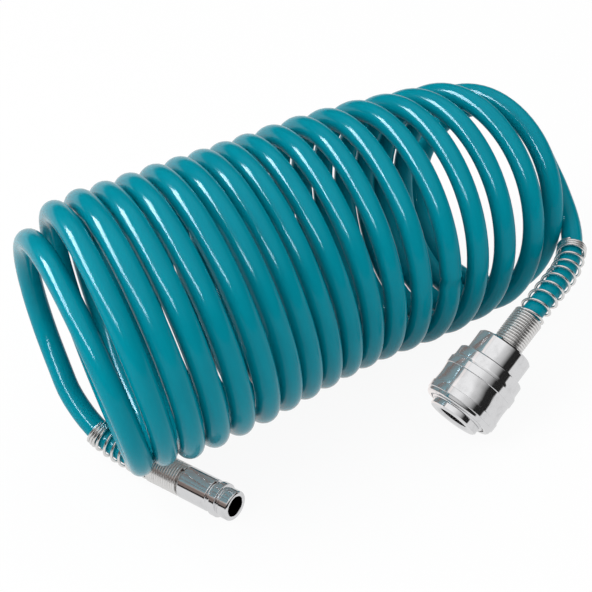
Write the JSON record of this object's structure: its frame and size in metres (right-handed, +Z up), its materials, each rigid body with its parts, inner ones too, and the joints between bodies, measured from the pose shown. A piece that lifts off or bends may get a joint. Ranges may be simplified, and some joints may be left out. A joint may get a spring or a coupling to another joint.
{
  "type": "coiled air hose",
  "caption": "Springy spiral air hose with a nipple at one end, a quick-release coupler at the other and wire bend guards at both.",
  "frame": {"origin": "bottom centre of the part's box, on the surface that it lies on", "axes": "+X along the coil from the nipple's end to the coupler's end, +Z up, -Y towards the side where both fittings lie"},
  "size_m": [0.2342, 0.1392, 0.114],
  "materials": {
    "hose": "glossy",
    "fitting": "polished",
    "wire": "bright",
    "seal": "matte"
  },
  "bodies": {
    "plug_end": {"plug_body": "fitting", "plug_ferrule": "fitting", "plug_guard_spring": "wire", "hose_plug_tail": "hose", "hose_coil": "hose"},
    "coupler_end": {"hose_coupler_tail": "hose", "coupler_guard_spring": "wire", "coupler_ferrule": "fitting", "coupler_tailpiece": "fitting", "tailpiece_seal": "seal", "coupler_body": "fitting", "retaining_ring": "wire", "mouth_seal": "seal", "sleeve_spring": "wire", "valve_spring": "wire"},
    "sleeve": {"coupler_sleeve": "fitting"},
    "valve": {"valve_poppet": "fitting", "valve_seal": "seal"},
    "ball_1": {"locking_ball_1": "fitting"},
    "ball_2": {"locking_ball_2": "fitting"},
    "ball_3": {"locking_ball_3": "fitting"},
    "ball_4": {"locking_ball_4": "fitting"}
  },
  "joints": [
    {"name": "coil_stretch", "type": "slide", "parent": "plug_end", "child": "coupler_end", "axis": [1, 0, 0], "range_m": [0, 0.3], "stiffness_N_per_m": 8, "deforming": ["hose_coil"]},
    {"name": "sleeve_pull", "type": "slide", "parent": "coupler_end", "child": "sleeve", "axis": [0.856, 0.0449, 0.515], "range_m": [0, 0.005], "stiffness_N_per_m": 1200, "springref_m": -0.004, "deforming": ["sleeve_spring"]},
    {"name": "valve_push", "type": "slide", "parent": "coupler_end", "child": "valve", "axis": [0.856, 0.0449, 0.515], "range_m": [0, 0.004], "stiffness_N_per_m": 900, "springref_m": -0.004, "deforming": ["valve_spring"]},
    {"name": "ball_1_out", "type": "slide", "parent": "coupler_end", "child": "ball_1", "axis": [0.3472, 0.6882, -0.637], "range_m": [0, 0.001]},
    {"name": "ball_2_out", "type": "slide", "parent": "coupler_end", "child": "ball_2", "axis": [-0.383, 0.7241, 0.5736], "range_m": [0, 0.001]},
    {"name": "ball_3_out", "type": "slide", "parent": "coupler_end", "child": "ball_3", "axis": [-0.3472, -0.6882, 0.637], "range_m": [0, 0.001]},
    {"name": "ball_4_out", "type": "slide", "parent": "coupler_end", "child": "ball_4", "axis": [0.383, -0.7241, -0.5736], "range_m": [0, 0.001]}
  ],
  "couplings": [
    {"joint": "ball_1_out", "follows": "sleeve_pull", "ratio": 0.2},
    {"joint": "ball_2_out", "follows": "sleeve_pull", "ratio": 0.2},
    {"joint": "ball_3_out", "follows": "sleeve_pull", "ratio": 0.2},
    {"joint": "ball_4_out", "follows": "sleeve_pull", "ratio": 0.2}
  ]
}
